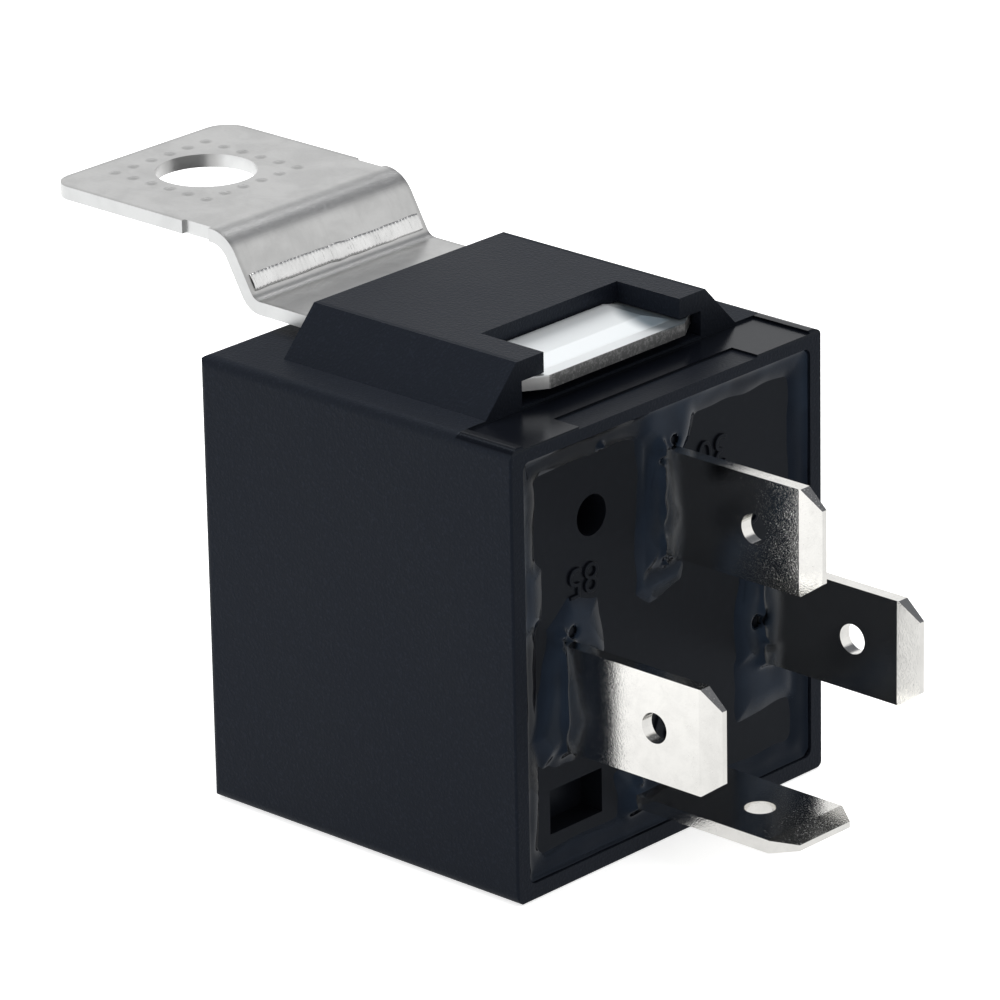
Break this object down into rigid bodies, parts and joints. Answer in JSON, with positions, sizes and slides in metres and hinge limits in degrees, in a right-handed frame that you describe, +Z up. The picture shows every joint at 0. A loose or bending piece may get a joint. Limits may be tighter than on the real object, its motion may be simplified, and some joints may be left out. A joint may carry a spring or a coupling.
{
  "type": "automotive relay",
  "caption": "Sealed cube relay with flat blade terminals and a Z-bent screw bracket clipped into its cover",
  "frame": {"origin": "centre of the flat cover face that the relay lies on", "axes": "+X towards the blades, -X towards the closed end and the bracket's screw tab, +Z up, towards the bracket, as the relay lies"},
  "size_m": [0.0526, 0.026, 0.032],
  "materials": {
    "cover_plastic": "fine matt texture, black",
    "base_plastic": "smooth black moulding",
    "sealing_resin": "glossy black casting resin",
    "zinc_steel": "zinc plated, dull grey, brighter where it was pressed",
    "tin_plate": "bright tin plating over brass",
    "plain_brass": "plain rolled brass",
    "bobbin_nylon": "natural nylon",
    "enamelled_wire": "enamelled copper wire",
    "magnet_iron": "zinc plated soft iron",
    "spring_bronze": "rolled bronze",
    "contact_silver": "silver alloy",
    "rivet_steel": "plated steel",
    "resistor_enamel": "blue enamel"
  },
  "bodies": {
    "relay": {"cover": "cover_plastic", "base_plate": "base_plastic", "sealing_resin": "sealing_resin", "mounting_bracket": "zinc_steel", "terminal_30": "tin_plate", "terminal_87": "tin_plate", "terminal_85": "tin_plate", "terminal_86": "tin_plate", "rest_stop": "plain_brass", "bobbin": "bobbin_nylon", "coil_winding": "enamelled_wire", "coil_lead_85": "enamelled_wire", "coil_lead_86": "enamelled_wire", "core": "magnet_iron", "yoke": "magnet_iron", "fixed_contact": "contact_silver", "yoke_rivet_1": "rivet_steel", "yoke_rivet_2": "rivet_steel", "resistor_body": "resistor_enamel", "resistor_lead_85": "tin_plate", "resistor_lead_86": "tin_plate"},
    "armature": {"armature": "magnet_iron", "contact_spring": "spring_bronze", "moving_contact": "contact_silver", "armature_rivet_1": "rivet_steel", "armature_rivet_2": "rivet_steel"}
  },
  "joints": [
    {"name": "armature_hinge", "type": "hinge", "parent": "relay", "child": "armature", "pos_m": [-0.0076, 0, 0.0203], "axis": [0, -1, 0], "range_deg": [0, 3], "stiffness_Nm_per_rad": 0.05, "springref_deg": -2.86, "deforming": ["contact_spring"]}
  ]
}
